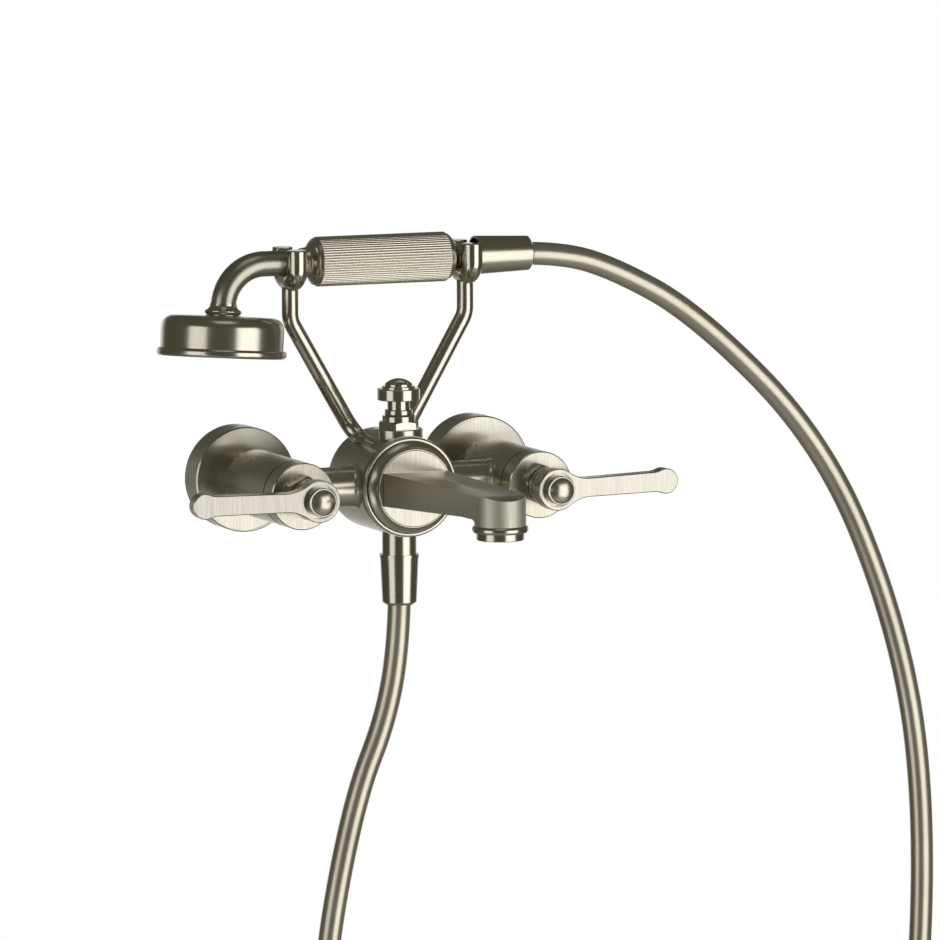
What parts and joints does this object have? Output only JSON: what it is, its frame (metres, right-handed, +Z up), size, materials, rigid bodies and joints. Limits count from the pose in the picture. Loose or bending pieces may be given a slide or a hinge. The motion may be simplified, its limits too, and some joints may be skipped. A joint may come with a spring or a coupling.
{
  "type": "wall mounted bath faucet",
  "caption": "Exposed bath mixer with lever valves, flat tapering spout, pull-up diverter, and a hand shower resting in a forked cradle on a looped hose.",
  "frame": {"origin": "on the finished wall, midway between the two inlets", "axes": "+Z up, the front faces -Y, +X to the right seen from the front; the wall is the plane Y = 0"},
  "size_m": [0.505, 0.2692, 0.6917],
  "materials": {
    "satin_nickel": "brushed nickel plate, warm and satin",
    "polished_nickel": "nickel plate with a mirror polish",
    "brass": "plain turned brass",
    "seal_rubber": "black rubber",
    "ceramic": "ground white ceramic",
    "stainless": "plain stainless steel",
    "hose_cover": "smooth metal-coloured cover with a satin sheen",
    "grey_plastic": "grey moulded plastic"
  },
  "bodies": {
    "mixer": {"aerator_housing": "polished_nickel", "aerator_insert": "grey_plastic", "aerator_washer": "seal_rubber", "body_casting": "satin_nickel", "bonnet_nuts": "polished_nickel", "cartridge_seals": "seal_rubber", "cartridges": "brass", "cradle_arm_left": "satin_nickel", "cradle_arm_right": "satin_nickel", "diverter_base": "polished_nickel", "diverter_bonnet": "polished_nickel", "diverter_gland": "polished_nickel", "diverter_spring": "stainless", "fixed_discs": "ceramic", "hose": "hose_cover", "hose_ferrule_lower": "brass", "hose_nut_lower": "satin_nickel", "hose_outlet": "satin_nickel", "hose_washer_lower": "seal_rubber", "inlet_nipples": "brass", "inlet_nuts": "satin_nickel", "inlet_washers": "seal_rubber", "non_return_valves": "grey_plastic", "retaining_ring": "satin_nickel", "spindle_seals": "seal_rubber", "spout": "satin_nickel", "valve_cap_left": "satin_nickel", "valve_cap_right": "satin_nickel", "wall_flange_left": "satin_nickel", "wall_flange_right": "satin_nickel", "wall_unions": "brass", "yoke_left": "polished_nickel", "yoke_right": "polished_nickel"},
    "lever_left": {"lever_left": "satin_nickel", "lever_cap_left": "polished_nickel", "lever_screw_left": "stainless", "spindle_left": "brass", "moving_disc_left": "ceramic"},
    "lever_right": {"lever_right": "satin_nickel", "lever_cap_right": "polished_nickel", "lever_screw_right": "stainless", "spindle_right": "brass", "moving_disc_right": "ceramic"},
    "diverter": {"diverter_knob": "polished_nickel", "diverter_stem": "brass", "diverter_seal": "seal_rubber"},
    "hand_shower": {"grip_sleeve": "satin_nickel", "grip_shoulder_left": "polished_nickel", "grip_shoulder_right": "polished_nickel", "handset_core": "satin_nickel", "handset_elbow": "satin_nickel", "head_collar": "polished_nickel", "head_shell": "satin_nickel", "head_rim": "polished_nickel", "spray_plate": "grey_plastic", "head_seal": "seal_rubber", "hose_nut_upper": "satin_nickel", "hose_washer_upper": "seal_rubber", "hose_ferrule_upper": "brass"}
  },
  "joints": [
    {"name": "left_valve", "type": "hinge", "parent": "mixer", "child": "lever_left", "pos_m": [-0.075, -0.136, 0], "axis": [0, -1, 0], "range_deg": [0, 90]},
    {"name": "right_valve", "type": "hinge", "parent": "mixer", "child": "lever_right", "pos_m": [0.075, -0.136, 0], "axis": [0, 1, 0], "range_deg": [0, 90]},
    {"name": "diverter_pull", "type": "slide", "parent": "mixer", "child": "diverter", "axis": [0, 0, 1], "range_m": [0, 0.005], "stiffness_N_per_m": 300, "springref_m": -0.008, "deforming": ["diverter_spring"]},
    {"name": "hand_shower_lift", "type": "slide", "parent": "mixer", "child": "hand_shower", "axis": [0, 0, 1], "range_m": [0, 0.03], "deforming": ["hose"]}
  ]
}
